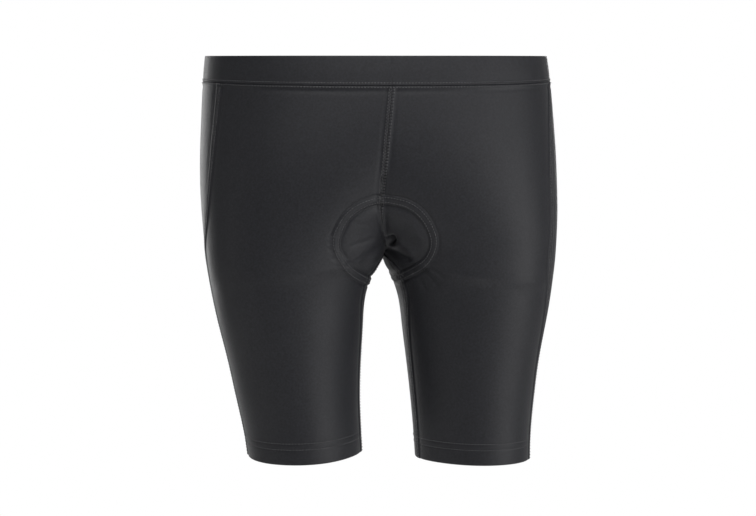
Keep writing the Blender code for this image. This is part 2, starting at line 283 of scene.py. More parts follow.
def panelRows(face):
    # rows as five arrays: above the crotch or not, share at the inner edge, share at the side,
    # height above the hem, hem row or not
    def lengths(total):
        fine = np.arange(0, panel["riseZone"], panel["fineStep"])
        coarse = np.arange(fine[-1] + panel["fineStep"], total - panel["edgeZone"], panel["coarseStep"])
        edge = np.arange(total - panel["edgeZone"], total, panel["edgeStep"])
        return (total - np.concatenate([fine, coarse, edge, [total]]))[::-1]

    inner, total = crotchShares(face, lengths)
    # the side seam is shorter, so its shares run evenly with the row lengths
    outer = lengths(total) / total
    lowerLength = cut["hemDrop"]["left"] - cut["crotchDrop"]
    sideLength = min(cut["hemDrop"].values()) - cut["sideDropAtCrotch"]
    last = lowerLength * (1 - (panel["hemZone"] + panel["hemSpare"]) / sideLength)
    fine = np.arange(panel["fineStep"], panel["inseamZone"], panel["fineStep"])
    coarse = np.arange(panel["inseamZone"] + panel["coarseStep"], last, panel["coarseStep"])
    lower = np.concatenate([fine, coarse]) / lowerLength
    hemUpper = np.arange(panel["hemZone"], panel["hemEdge"], -panel["hemStep"])
    raised = np.concatenate([hemUpper, np.arange(panel["hemEdge"], -0.01, -panel["hemEdgeStep"])])
    above = np.arange(len(inner) + len(lower) + len(raised)) < len(inner)
    isHem = np.arange(len(above)) >= len(inner) + len(lower)
    atInner = np.concatenate([inner, lower, np.ones(len(raised))])
    atSide = np.concatenate([outer, lower, np.ones(len(raised))])
    lift = np.concatenate([np.zeros(len(inner) + len(lower)), np.maximum(raised, 0)])
    return above, atInner, atSide, lift, isHem


def rowLines(face, side):
    # each row's turn runs evenly from its inner end to the side seam; its height eases between the two ends
    above, atInner, atSide, lift, isHem = (part[:, None] for part in panelRows(face))
    u = np.linspace(0, 1, panel["dense"])[None, :]
    ease = 1 - (1 - u) ** 2
    middle = -cut["crotchDrop"] - (cut["sideDropAtCrotch"] - cut["crotchDrop"]) * ease
    share = atInner + (atSide - atInner) * ease
    z = middle + 0 * share
    for _ in range(settle):
        start, end = innerTurn(z[:, :1], face), sideTurn(z[:, -1:], side)
        line = onSection(z, start + (end - start) * u)
        top = waistSeam(line, side) - cut["seamGap"]
        below = middle + (hemHeight(line, side) - middle) * share + lift
        z = np.where(above, top + (middle - top) * share, below)
    start, end = innerTurn(z[:, :1], face), sideTurn(z[:, -1:], side)
    return onSection(z, start + (end - start) * u), lift[:, 0], isHem[:, 0], ~above[:, 0]


def panelPlaces(lengths):
    # columns: fine at both edges, fairly fine beside the rise and inseam, coarser in the middle
    edge = np.arange(0, panel["edgeZone"], panel["edgeStep"])
    fine = np.arange(edge[-1] + panel["edgeStep"], panel["fineZone"], panel["fineStep"])
    start = np.concatenate([edge, fine])
    rest = lengths - start[-1] - edge[-1]
    count = int(rest.mean() / panel["coarseStep"])
    middle = np.linspace(0, 1, count + 1)[1:-1]
    first = np.broadcast_to(start, (len(lengths), len(start)))
    centre = start[-1] + rest[:, None] * middle
    last = lengths[:, None] - edge[::-1]
    return np.concatenate([first, centre, last], axis=1)


# The seat pad's outline, by its share of the way from the front tip to the back tip along the crotch
padShape = {
    "share": (0, 0.03, 0.08, 0.17, 0.27, 0.36, 0.45, 0.56, 0.68, 0.8, 0.9, 0.97, 1),
    "half": (12, 27, 40, 50, 49, 38, 33, 40, 58, 68, 60, 36, 16),
    "axisDrop": 122,
    "frontAngle": 12.5,
    "backAngle": 190,
}
padCurve = makeCurve(padShape["share"], padShape["half"])


# Pad map: any point of the cloth near the crotch as a length along the seam and a width out from it
padMap = {
    "rows": 460, "frontAngle": 6.0, "backAngle": 196.0, "widest": 84, "step": 1.0,
    "tableStep": 0.5, "nearX": 80, "far": 200.0,
}


def marchPad():
    # lines in planes that turn about an axis along x, each stepped outwards over the cloth from the seam
    angle = np.radians(np.linspace(padMap["frontAngle"], padMap["backAngle"], padMap["rows"]))
    down = np.stack([0 * angle, -np.cos(angle), -np.sin(angle)], axis=-1)
    hub = np.array([0.0, 0.0, -padShape["axisDrop"]])
    low, high = np.zeros(padMap["rows"]), np.full(padMap["rows"], 200.0)
    for _ in range(40):
        half = (low + high) / 2
        inside = level(hub + down * half[:, None]) < 1
        low, high = np.where(inside, half, low), np.where(inside, high, half)
    p = hub + down * low[:, None]
    lines = [p]
    aside = np.array([1.0, 0.0, 0.0])
    for _ in range(int(padMap["widest"] / padMap["step"])):
        g = slope(p)
        step = unit(aside * np.sum(g * down, axis=1, keepdims=True) - down * g[:, :1])
        p = p + step * padMap["step"]
        g = slope(p)
        inPlane = aside * g[:, :1] + down * np.sum(g * down, axis=1, keepdims=True)
        p = p - inPlane * (level(p) - 1)[:, None] / np.sum(inPlane**2, axis=1, keepdims=True)
        lines.append(p)
    return np.degrees(angle), np.stack(lines, axis=1)


padAngle, padGrid = marchPad()
padAlong = walked(padGrid[None, :, 0])[0]
padAlong = padAlong - np.interp(padShape["frontAngle"], padAngle, padAlong)
padLength = np.interp(padShape["backAngle"], padAngle, padAlong)


def padPoint(s, w):
    # bilinear reading of the marched grid at length s along the seam and width w from it
    row = np.interp(s, padAlong, np.arange(len(padAlong)))
    column = np.clip(w / padMap["step"], 0, padGrid.shape[1] - 1.001)
    i, j = np.clip(row.astype(int), 0, len(padAlong) - 2), column.astype(int)
    a, b = (row - i)[..., None], (column - j)[..., None]
    upper = padGrid[i, j] * (1 - b) + padGrid[i, j + 1] * b
    lower = padGrid[i + 1, j] * (1 - b) + padGrid[i + 1, j + 1] * b
    return upper * (1 - a) + lower * a


def padPlace(p):
    # the other way round: s from the plane's angle, w from x by a table of w over x for every plane
    xs = np.arange(0, padMap["widest"], padMap["tableStep"])
    byX = np.stack([np.interp(xs, line[:, 0], np.arange(len(line)) * padMap["step"]) for line in padGrid])
    angle = np.degrees(np.arctan2(-(p[..., 2] + padShape["axisDrop"]), -p[..., 1])) % 360
    row = np.interp(angle, padAngle, np.arange(len(padAngle)))
    column = np.clip(p[..., 0] / padMap["tableStep"], 0, len(xs) - 1.001)
    i, j = np.clip(row.astype(int), 0, len(padAngle) - 2), column.astype(int)
    a, b = row - i, column - j
    upper = byX[i, j] * (1 - b) + byX[i, j + 1] * b
    lower = byX[i + 1, j] * (1 - b) + byX[i + 1, j + 1] * b
    w = upper * (1 - a) + lower * a
    near = (angle > padMap["frontAngle"] + 0.5) & (angle < padMap["backAngle"] - 0.5)
    near = near & (p[..., 0] < padMap["nearX"])
    return np.interp(angle, padAngle, padAlong), np.where(near, w, padMap["far"])


# Pad ring: the outer edge of its sewn band as (along, out) points over the cloth, from the front tip to the
# back; the back part is the same on both sides
ringShape = {
    "left": (
        (1.6, 0), (1.0, 7), (1.6, 14), (4.0, 24.5), (10, 35.5), (18, 43.5), (27, 49.5), (35, 53),
        (42.5, 54), (50, 53), (57, 50.5), (65, 45), (78, 38), (96, 35),
    ),
    "right": (
        (1.6, 0), (1.9, 6), (2.8, 12), (4.4, 19), (7.4, 28), (13.5, 40.5), (24, 53), (35.5, 62),
        (42, 63.5), (49, 62), (57, 58.5), (66, 52), (79, 43), (97, 37),
    ),
    "back": ((120, 34), (150, 42), (181, 58), (213, 68), (240, 60), (258, 38), (268, 18), (271, 0)),
}
ringPoints = {"even": 260, "dense": 1500, "within": 82, "far": 60.0, "radius": 130}


def ringOutline(side):
    # cubic through the points, read evenly along its own length
    knots = np.array(ringShape[side] + ringShape["back"], float)
    t = walked(knots[None])[0]
    curves = [makeCurve(t, knots[:, k]) for k in (0, 1)]
    fine = np.linspace(0, t[-1], ringPoints["dense"])
    line = np.stack([readCurve(curve, fine) for curve in curves], axis=-1)
    along = walked(line[None])[0]
    even = np.linspace(0, along[-1], ringPoints["even"])
    return np.stack([np.interp(even, along, line[:, k]) for k in (0, 1)], axis=-1)


rings = {side: ringOutline(side) for side in ("right", "left")}


def insetRing(side, inset):
    # the outline moved in along its own normals
    along = np.gradient(rings[side], axis=0)
    return rings[side] + unit(np.stack([along[:, 1], -along[:, 0]], axis=-1)) * inset


def ringDistance(p, side):
    # signed distance to the outline in (s, w), negative on the pad's side
    s, w = padPlace(p)
    ring = rings[side]
    away = np.full(s.shape, ringPoints["far"])
    near = w < ringPoints["within"]
    q = np.stack([s[near], w[near]], axis=-1)[:, None]
    a, b = ring[:-1:2][None], ring[2::2][None]
    a = a[:, : b.shape[1]]
    share = np.clip(np.sum((q - a) * (b - a), axis=-1) / np.sum((b - a) ** 2, axis=-1), 0, 1)
    gap = np.linalg.norm(q - a - (b - a) * share[..., None], axis=-1).min(axis=1)
    halfWidth = np.interp(s[near], ring[:, 0], ring[:, 1], left=-1, right=-1)
    away[near] = np.where(w[near] < halfWidth, -gap, gap)
    return away


def bump(x, width):
    # exp(-(x / width)^2)
    return np.exp(-((x / width) ** 2))


def addMesh(name, points, faceGroups, uv=None):
    # one mesh from millimetre points and arrays of faces, each array with its own number of corners
    mesh = bpy.data.meshes.new(name)
    corners = np.concatenate([group.ravel() for group in faceGroups])
    sizes = np.concatenate([np.full(len(group), group.shape[1]) for group in faceGroups])
    mesh.vertices.add(len(points))
    mesh.vertices.foreach_set("co", (points * mm).ravel())
    mesh.loops.add(len(corners))
    mesh.loops.foreach_set("vertex_index", corners)
    mesh.polygons.add(len(sizes))
    mesh.polygons.foreach_set("loop_start", np.cumsum(sizes) - sizes)
    mesh.update(calc_edges=True)
    if uv is not None:
        layer = mesh.uv_layers.new(name="clothGrain")
        layer.data.foreach_set("uv", uv[corners].ravel())
    mesh.shade_smooth()
    piece = bpy.data.objects.new(name, mesh)
    bpy.context.scene.collection.objects.link(piece)
    faceOut(piece)
    return piece


def addWall(name, outer, inner, uv):
    # closed wall between two open grids: outer faces, reversed inner faces and the four rims
    rows, columns = outer.shape[:2]
    shell = rows * columns
    index = np.arange(shell).reshape(rows, columns)
    a, b, c, d = index[:-1, :-1], index[:-1, 1:], index[1:, 1:], index[1:, :-1]
    quads = [np.stack([a, d, c, b], axis=-1).reshape(-1, 4)]
    quads.append(np.stack([a, b, c, d], axis=-1).reshape(-1, 4) + shell)
    for edge in (index[0], index[:, -1], index[-1, ::-1], index[::-1, 0]):
        quads.append(np.stack([edge[:-1], edge[1:], edge[1:] + shell, edge[:-1] + shell], axis=-1))
    both = np.concatenate([uv.reshape(-1, 2), uv.reshape(-1, 2)])
    return addMesh(name, np.concatenate([outer.reshape(-1, 3), inner.reshape(-1, 3)]), quads, both)


def faceOut(piece):
    # turn the whole mesh inside out when its signed volume is negative
    mesh = piece.data
    mesh.calc_loop_triangles()
    tri = np.empty(len(mesh.loop_triangles) * 3, int)
    mesh.loop_triangles.foreach_get("vertices", tri)
    co = np.empty(len(mesh.vertices) * 3)
    mesh.vertices.foreach_get("co", co)
    a, b, c = co.reshape(-1, 3)[tri.reshape(-1, 3)].transpose(1, 0, 2)
    if np.sum(a * np.cross(b, c)) < 0:
        mesh.flip_normals()


# Flat seams: half width of the ridge, how far it stands, the groove on the joint and the hollow beside it
flatSeam = {
    "half": 3.1, "stand": 0.55, "groove": 0.35, "grooveWidth": 0.5,
    "hollow": 0.3, "hollowAt": 5.4, "hollowWidth": 1.8, "waist": 0.8,
}


def seamRelief(away, stand=1.0):
    # stand / (1 + (w/half)^10) with a groove on the joint and a shallow hollow beside the ridge
    ridge = flatSeam["stand"] / (1 + (away / flatSeam["half"]) ** 10)
    groove = flatSeam["groove"] * bump(away, flatSeam["grooveWidth"])
    hollow = flatSeam["hollow"] * bump(away - flatSeam["hollowAt"], flatSeam["hollowWidth"])
    return stand * (ridge - groove - hollow)


# The ring's sewn band: its width, needle rows, how far it stands, the hollows beside it and the pad's bulge
ringBand = {
    "width": 7.6,
    "rows": (1.4, 6.2),
    "stand": 0.8,
    "groove": 0.5,
    "grooveWidth": 0.7,
    "outerHollow": 1.2,
    "innerHollow": 1.2,
    "hollowWidth": 1.0,
    "bulge": 1.5,
    "bulgeRun": 10,
}


def ringRelief(away):
    # away is negative inside: the band, its two grooves, a hollow on each side and the bulge of the pad
    half = ringBand["width"] / 2
    band = ringBand["stand"] / (1 + ((away + half) / half) ** 8)
    rows = (bump(away + row, ringBand["grooveWidth"]) for row in ringBand["rows"])
    grooves = ringBand["groove"] * sum(rows)
    hollows = ringBand["outerHollow"] * bump(away - 1.3, ringBand["hollowWidth"])
    hollows += ringBand["innerHollow"] * bump(away + 2 * half + 1.3, ringBand["hollowWidth"])
    inner = np.clip((-away - 2 * half) / ringBand["bulgeRun"], 0, 1)
    return band - grooves - hollows + ringBand["bulge"] * inner * inner * (3 - 2 * inner)


# Hems: the heights of the two needle rows above the edge, their grooves and the fold's soft edge
hem = {"rows": (20.5, 15.0), "groove": 0.3, "grooveWidth": 0.7, "edgeRound": 1.4, "edgeDepth": 0.7}


def hemRelief(lift, isHem):
    # a groove at each row and the edge rounded in like 1 - sqrt(1 - (1 - lift/round)^2)
    total = -hem["groove"] * sum(bump(lift - row, hem["grooveWidth"]) for row in hem["rows"])
    near = np.clip(1 - lift / hem["edgeRound"], 0, 1)
    return np.where(isHem, total - hem["edgeDepth"] * (1 - np.sqrt(1 - near**2)), 0.0)


# Thighs: the front is hollowed towards the inseam and fuller towards the outside, from under the belly down
thigh = {"inner": 5.0, "outer": 2.0, "blend": 0.35, "top": 110, "full": 225, "middle": 20}


def thighRelief(p):
    # sin(2 turn) over the front half of the leg, deeper inside than outside, none at the middle line
    s = legSection(p[..., 2])
    power = s["square"] / 2
    c, n = (p[..., 0] - s["centre"]) / s["radius"], (s["widest"] - p[..., 1]) / s["front"]
    turn = np.arctan2(np.clip(n, 0, None) ** power, np.sign(c) * np.abs(c) ** power)
    down = np.clip((-p[..., 2] - thigh["top"]) / (thigh["full"] - thigh["top"]), 0, 1)
    mean, spread = (thigh["inner"] + thigh["outer"]) / 2, (thigh["inner"] - thigh["outer"]) / 2
    amount = (mean - spread * np.tanh(c / thigh["blend"])) * down * down * (3 - 2 * down)
    return np.sin(2 * turn) * amount * (1 - bump(p[..., 0], thigh["middle"]))


# Creases of the cloth, each from start to end in x and z, on one side's front or back; depth is inwards
creaseSway = {"share": 0.12, "run": 4.0}
creaseColumns = ("face", "side", "x0", "z0", "x1", "z1", "width", "depth")
creases = (
    ("front", "left", 6.2, -183, 7.6, -186, 2.7, 11.0),
    ("front", "left", 5.0, -193, 21, -203.5, 3.2, 2.8),
    ("front", "left", 11, -186, 24, -195.5, 3.6, -1.5),
    ("front", "left", 22, -176, 40, -186, 6.5, -0.8),
    ("front", "left", 14, -206, 33, -218, 3.0, 0.6),
    ("front", "left", 33, -214, 46, -229, 1.8, 0.5),
    ("front", "left", 38, -210, 52, -222, 1.8, 0.4),
    ("front", "left", 27, -217, 37, -236, 1.8, 0.4),
    ("front", "left", 19, -376, 30, -388, 2.4, 1.2),
    ("front", "right", -6, -190, -20, -210, 4.5, 1.4),
    ("front", "right", -14, -184, -40, -194, 2.2, 0.35),
    ("front", "right", -14, -196, -36, -212, 2.2, 0.35),
    ("front", "right", -22, -170, -44, -168, 2.4, 0.3),
    ("front", "right", -6.6, -126, -7.0, -141, 1.7, 2.6),
    ("front", "left", -4.4, -122, -5.2, -140, 1.6, 2.2),
    ("back", "left", 12, -196, 78, -208, 9.0, 1.6),
    ("back", "right", -12, -198, -72, -206, 9.0, 1.4),
    ("back", "left", 20, -214, 92, -232, 8.0, 0.8),
    ("back", "right", -18, -218, -84, -229, 8.0, 0.9),
)


def creaseRelief(p, face, side):
    # each crease is a soft trough: -depth exp(-(off/width)^2), fading past its two ends
    total = np.zeros(p.shape[:-1])
    for row in creases:
        crease = dict(zip(creaseColumns, row))
        if crease["face"] != face or crease["side"] != side:
            continue
        start = np.array([crease["x0"], crease["z0"]], float)
        run = np.array([crease["x1"], crease["z1"]], float) - start
        length = np.linalg.norm(run)
        run = run / length
        off = p[..., [0, 2]] - start
        along = off @ run
        aside = off @ np.array([-run[1], run[0]])
        past = np.maximum(np.maximum(-along, along - length), 0)
        sway = creaseSway["share"] * crease["width"] * np.sin(along / creaseSway["run"])
        total -= crease["depth"] * bump(aside - sway, crease["width"]) * bump(past, crease["width"])
    return total


def keepApart(relief, base, normal):
    # near the middle a point may move towards it only as far as half the seam gap
    room = np.maximum(base[..., 0] - cut["seamGap"] / 2, 0) / np.maximum(-normal[..., 0], 1e-3)
    return np.where(normal[..., 0] < -0.02, np.minimum(relief, room), relief)


def finishPiece(piece, name, material):
    # the part's single body carries every piece
    piece.data.materials.append(material)
    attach(piece, "root")
    if name:
        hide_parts(name)
    return piece


def gridArea(grid):
    # half the cross product of each cell's diagonals, in square metres
    diagonals = np.cross(grid[1:, 1:] - grid[:-1, :-1], grid[1:, :-1] - grid[:-1, 1:])
    return float(np.linalg.norm(diagonals, axis=-1).sum() / 2) * mm * mm


def makePanel(face, side, material):
    # outer grid on the body's surface moved out by the relief, inner grid one wall further in
    name = face + "_" + side
    lines, lift, isHem, isLower = rowLines(face, side)
    lengths = walked(lines)[:, -1]
    places = panelPlaces(lengths)
    base = resample(lines, np.minimum(places, (lengths - cut["seamGap"] / 2)[:, None]))
    normal = unit(slope(base))
    down = np.cumsum(np.linalg.norm(np.diff(base, axis=0, prepend=base[:1]), axis=-1), axis=0)
    folds = creaseRelief(worn(base, side), face, side) + ringRelief(ringDistance(base, side))
    form = thighRelief(base)
    relief = form + folds + seamRelief(places) + seamRelief(lengths[:, None] - places)
    relief = relief + seamRelief(down, flatSeam["waist"])
    relief = keepApart(relief + hemRelief(lift[:, None], isHem[:, None]), base, normal)
    outer = base + normal * relief[..., None]
    wall = np.where(isHem[:, None], panel["hemWall"], panel["wall"])
    inner = base + normal * (form + np.minimum(folds, 0) - wall)[..., None]
    uv = np.stack([places, down], axis=-1) / 100
    piece = addWall(name + "_knit", worn(outer, side), worn(inner, side), uv)
    grids[name] = {"base": base, "outer": outer, "normal": normal, "relief": relief}
    grids[name].update({"lift": lift, "isHem": isHem, "isLower": isLower})
    print(name, "grid", base.shape[:2], "area", round(gridArea(outer), 4))
    return finishPiece(piece, name, material)


grids = {}


# Waistband: a strip folded over elastic; the profile is a soft rectangle that leans out over the seam
band = {
    "wall": 2.4, "columns": 460, "profile": 84, "square": 7.0, "outside": -0.6,
    "proud": 0.35, "proudWidth": 0.35, "seamStand": 0.5, "seamAt": 0.955, "seamWidth": 0.05,
}
# the elastic's soft uneven pull: waves round half the waist, their shares and starts, and their reach
pull = {"waves": (31, 47, 73), "shares": (1.0, 0.7, 0.6), "starts": (0.0, 1.3, 0.4), "reach": 0.098}


def bandProfile():
    # superellipse |x|^n + |y|^n = 1 read evenly along its length; x goes through the wall, y down the band
    turn = np.linspace(0, 2 * np.pi, 4000)
    power = 2 / band["square"]
    x = np.sign(np.cos(turn)) * np.abs(np.cos(turn)) ** power * band["wall"] / 2
    y = np.sign(np.sin(turn)) * np.abs(np.sin(turn)) ** power * cut["bandFront"] / 2
    along = walked(np.stack([x, y], axis=-1)[None])[0]
    even = np.linspace(0, along[-1], band["profile"] + 1)[:-1]
    return np.interp(even, along, x) - band["wall"] / 2, np.interp(even, along, y) / cut["bandFront"] + 0.5


def bandStand(down, around):
    # proud in the middle and over the seam, plus the waves, which grow downwards like 0.3 + 0.7 down^3
    stand = band["proud"] * bump(down - 0.5, band["proudWidth"])
    stand = stand + band["seamStand"] * bump(down - band["seamAt"], band["seamWidth"])
    waves = zip(pull["shares"], pull["waves"], pull["starts"])
    total = sum(share * np.sin(wave * around + begin) for share, wave, begin in waves)
    return stand + pull["reach"] * total * (0.3 + 0.7 * down**3)


def makeWaistband(material):
    # the profile carried round the waist: each point at its share of the height, moved along the normal
    depth, share = bandProfile()
    halves = []
    for side in ("left", "right"):
        u = np.linspace(0, 1, band["columns"] // 2 + 1)[None, :]
        z = np.zeros((len(share), 1)) + 0 * u
        for _ in range(settle):
            start, end = innerTurn(z[:, :1], "front"), innerTurn(z[:, -1:], "back")
            line = onSection(z, start + (end - start) * u)
            z = waistTop(line, side) - bandHeight(line[..., 1]) * share[:, None]
        start, end = innerTurn(z[:, :1], "front"), innerTurn(z[:, -1:], "back")
        line = onSection(z, start + (end - start) * u)
        line = resample(line, u * walked(line)[:, -1:])
        normal = unit(slope(line))
        around = np.linspace(0, np.pi, line.shape[1])[None, :] * mirror[side]
        isOutside = depth[:, None] > band["outside"]
        offset = depth[:, None] + bandStand(share[:, None], around) * isOutside
        halves.append(worn(line + normal * offset[..., None], side))
    grid = np.concatenate([halves[0], halves[1][:, ::-1][:, 1:-1]], axis=1)
    rows, columns = grid.shape[:2]
    index = np.arange(rows * columns).reshape(rows, columns)
    right, low = np.roll(index, -1, axis=1), np.roll(index, -1, axis=0)
    quads = np.stack([index, right, np.roll(low, -1, axis=1), low], axis=-1).reshape(-1, 4)
    along = walked(np.concatenate([grid, grid[:, :1]], axis=1))[:, :-1]
    uv = np.stack([along, 0 * along + share[:, None] * cut["bandFront"]], axis=-1) / 100
    piece = addMesh("waist_casing", grid.reshape(-1, 3), [quads], uv.reshape(-1, 2))
    grids["waistband"] = {"halves": halves, "share": share, "depth": depth}
    print("waist casing grid", grid.shape[:2], "round", round(float(along.max() * mm), 3))
    return finishPiece(piece, "waistband", material)


# Seat pad: moulded fleece over foam; thick in the middle, thin at its edge, with pressed channels
pad = {
    "rows": 230, "columns": 64, "wall": 1.5, "clearance": 1.25, "edge": 1.6, "core": 7.0,
    "ridgeLimit": 1.35, "tipPower": 0.4,
}
# the channels' places across and along, how the cross ones bend, and how deep they may go into the foam
padChannels = {
    "centre": 3.2, "side": 24.0, "width": 2.2, "depth": 2.2, "cross": (0.24, 0.4, 0.56, 0.72),
    "bend": 6, "bendReach": 60, "crossFrom": 4, "deepest": 0.45,
}


def padFace(lines, normal, inset):
    # the cloth's points moved in; the middle line is mitred over the crotch's ridge
    out = lines - normal * inset[..., None]
    flat = normal[:, 0].copy()
    flat[:, 0] = 0
    lean = np.linalg.norm(flat, axis=1, keepdims=True)
    out[:, 0] = lines[:, 0] - flat / lean * inset[:, :1] * np.minimum(1 / lean, pad["ridgeLimit"])
    return out


def makePad(material):
    # thickness edge + (core - edge)(1 - u^3), softened at the tips, less the pressed channels
    v = np.linspace(0, 1, pad["rows"])[:, None]
    u = np.linspace(0, 1, pad["columns"])[None, :]
    width = np.maximum(readCurve(padCurve, v), 1)
    s = v * padLength + 0 * u
    lines = padPoint(s, width * u)
    lines[:, 0, 0] = 0
    normal = unit(slope(lines))
    normal[:, 0, 0] = 0
    normal = unit(normal)
    tips = np.clip(np.sin(np.pi * v), 0, 1) ** pad["tipPower"]
    thick = pad["edge"] + (pad["core"] - pad["edge"]) * (1 - u**3) * tips
    reach = width * u
    pressed = sum(bump(reach - padChannels[place], padChannels["width"]) for place in ("centre", "side"))
    bend = padChannels["bend"] * np.sin(np.pi * np.clip(reach / padChannels["bendReach"], 0, 1))
    for share in padChannels["cross"]:
        bent = (v - share) * padLength - bend
        pressed = pressed + bump(bent, padChannels["width"]) * (reach > padChannels["crossFrom"])
    deepest = padChannels["deepest"] * thick
    thick = thick - np.minimum(padChannels["depth"] * pressed, deepest) * (1 - u**6)
    contact = pad["wall"] + pad["clearance"] + 0 * thick
    layers = []
    for inset in (contact, contact + thick):
        face = padFace(lines, normal, inset)
        halves = []
        for side in ("right", "left"):
            fold = creaseRelief(worn(lines, side), "front", side) * (lines[..., 1] < 0)
            fold = np.minimum(fold, 0) + thighRelief(lines)
            halves.append(worn(face + normal * fold[..., None], side))
        layers.append(np.concatenate([halves[0][:, ::-1][:, :-1], halves[1]], axis=1))
    across = np.concatenate([-reach[:, ::-1][:, :-1], reach], axis=1)
    uv = np.stack([across, s[:, :1] + 0 * across], axis=-1) / 100
    piece = addWall("saddle_pad", layers[0], layers[1], uv)
    print("saddle pad grid", layers[0].shape[:2])
    return finishPiece(piece, "seat_pad", material)


# Thread: stitch length and gap along a row, radius, how high it arches, how far its ends sink
thread = {
    "pitch": 3.0, "gap": 1.15, "radius": 0.36, "arch": 0.16, "cover": 0.17, "coverArch": 0.03,
    "sink": 0.25, "rise": 0.6, "taper": 0.55, "sides": 5, "rings": 4,
}


def stitchPoints(start, end, normal, radius, arch):
    # tubes along start + (end - start) t + normal (arch sin(pi t) - sink), thinner at both ends
    t = np.linspace(0, 1, thread["rings"])[None, :, None]
    run = end - start
    middle = start[:, None] + run[:, None] * t
    rise = arch * np.sin(np.pi * t) - thread["sink"] * (np.abs(2 * t - 1) ** 3)
    middle = middle + normal[:, None] * (rise + radius * thread["rise"])
    ahead = unit(run)
    across = unit(np.cross(ahead, normal))
    up = np.cross(across, ahead)
    turn = np.arange(thread["sides"]) * 2 * np.pi / thread["sides"]
    around = across[:, None] * np.cos(turn)[None, :, None] + up[:, None] * np.sin(turn)[None, :, None]
    size = radius * (1 - thread["taper"] * np.abs(2 * t - 1) ** 4)
    return middle[:, :, None] + around[:, None] * size[..., None]


def addThreads(name, runs, material):
    # every run is (starts, ends, normals, radius, arch) in millimetres; all its stitches join one mesh
    points = np.concatenate([stitchPoints(*run) for run in runs])
    count, rings, sides = points.shape[:3]
    index = np.arange(count * rings * sides).reshape(count, rings, sides)
    turned = np.roll(index, -1, axis=2)
    quads = np.stack([index[:, :-1], turned[:, :-1], turned[:, 1:], index[:, 1:]], axis=-1).reshape(-1, 4)
    caps = np.concatenate([index[:, 0, ::-1], index[:, -1]])
    piece = addMesh(name, points.reshape(-1, 3), [quads, caps])
    print(name, count, "stitches")
    return finishPiece(piece, None, material)


def gridLine(name, column, rows):
    # the panel's outer points and normals at a fractional column from the inner edge, or from the side below 0
    grid = grids[name]
    c = column if column >= 0 else grid["outer"].shape[1] - 1 + column
    i, b = int(c), c - int(c)
    side = name.split("_")[1]
    p = grid["outer"][rows, i] * (1 - b) + grid["outer"][rows, i + 1] * b
    n = unit(grid["normal"][rows, i] * (1 - b) + grid["normal"][rows, i + 1] * b)
    return worn(p, side), mirrored(n, side)


def evenly(line, normal, places):
    # points and normals of a line at shares of its length
    along = walked(line[None])[0]
    at = places * along[-1]
    read = [np.interp(at, along, part[:, k]) for part in (line, normal) for k in range(3)]
    return np.stack(read[:3], axis=-1), unit(np.stack(read[3:], axis=-1))


def sewRows(*lines):
    # a straight row of stitches on every line, each with as many stitches as the longest line needs
    length = max(walked(line[None])[0][-1] for line, _ in lines)
    count = max(int(length / thread["pitch"]), 2)
    edges = np.arange(count + 1) / count
    half = thread["gap"] / length / 2
    runs = []
    for line, normal in lines:
        first, n = evenly(line, normal, edges[:-1] + half)
        last, _ = evenly(line, normal, edges[1:] - half)
        runs.append((first, last, n, thread["radius"], thread["arch"]))
    return runs, edges


def sewSeam(lineA, lineB):
    # two straight rows, and cover threads that cross from one row to the other between their stitches
    runs, edges = sewRows(lineA, lineB)
    a, na = evenly(*lineA, edges)
    b, nb = evenly(*lineB, np.clip(edges + edges[1] / 2, 0, 1))
    runs.append((a[:-1], b[:-1], unit(na[:-1] + nb[:-1]), thread["cover"], thread["coverArch"]))
    runs.append((b[:-1], a[1:], unit(na[1:] + nb[:-1]), thread["cover"], thread["coverArch"]))
    return runs


# Where the needle rows lie beside the seams, in millimetres from the joint
needle = {"away": 2.45, "waistBand": 2.6, "waistPanel": 2.3, "riseStart": 3.2, "sideFirstRow": 6}
edgeColumn = needle["away"] / panel["edgeStep"]


def riseRows(name):
    # the rows from just under the waist seam to the crotch
    above = int(np.sum(~grids[name]["isLower"]))
    return slice(int(needle["riseStart"] / panel["edgeStep"]), above)


def ringLine(inset, side):
    # the pad's outline moved in, on the cloth, lifted by the relief of the nearest grid point
    half = insetRing(side, inset)
    p = padPoint(half[:, 0], np.maximum(half[:, 1], 0.05))
    base = np.concatenate([grids[f + "_" + side]["base"].reshape(-1, 3) for f in ("front", "back")])
    relief = np.concatenate([grids[f + "_" + side]["relief"].ravel() for f in ("front", "back")])
    near = np.linalg.norm(base[:, :2], axis=1) < ringPoints["radius"]
    base, relief = base[near], relief[near]
    gap = np.sum(base**2, axis=1)[None] - 2 * p @ base.T
    lift = relief[np.argmin(gap, axis=1)]
    normal = unit(slope(p))
    out = worn(p + normal * lift[:, None], side)
    return out, mirrored(normal, side)


# Finishes: colours are linear; the knit's grain is in millimetres through the clothGrain UV map
charcoal = {"dark": (0.0148, 0.0152, 0.0188), "light": (0.0245, 0.025, 0.0308)}
knit = charcoal | {"roughness": 0.45, "sheen": 0.2}
knitGrain = {"wale": 1.0, "course": 0.8, "speckle": 0.9, "height": 0.00012, "strength": 0.7, "patches": 520}
bandFinish = charcoal | {"roughness": 0.5, "sheen": 0.2}
waveScale = 0.314  # a wave texture repeats once for each millimetre at this scale
# thread colours: a grey lifted well above the cloth's dark, a painted highlight that stands in for the glints
# of the strands along the stitch rows; dark and light mix at random
threadPaintedGlintFinish = {"dark": (0.08, 0.08, 0.085), "light": (0.15, 0.15, 0.156), "roughness": 0.45, "sheen": 0.3}
fleeceFinish = {"dark": (0.04, 0.04, 0.045), "light": (0.065, 0.065, 0.072), "roughness": 0.9, "sheen": 0.5}


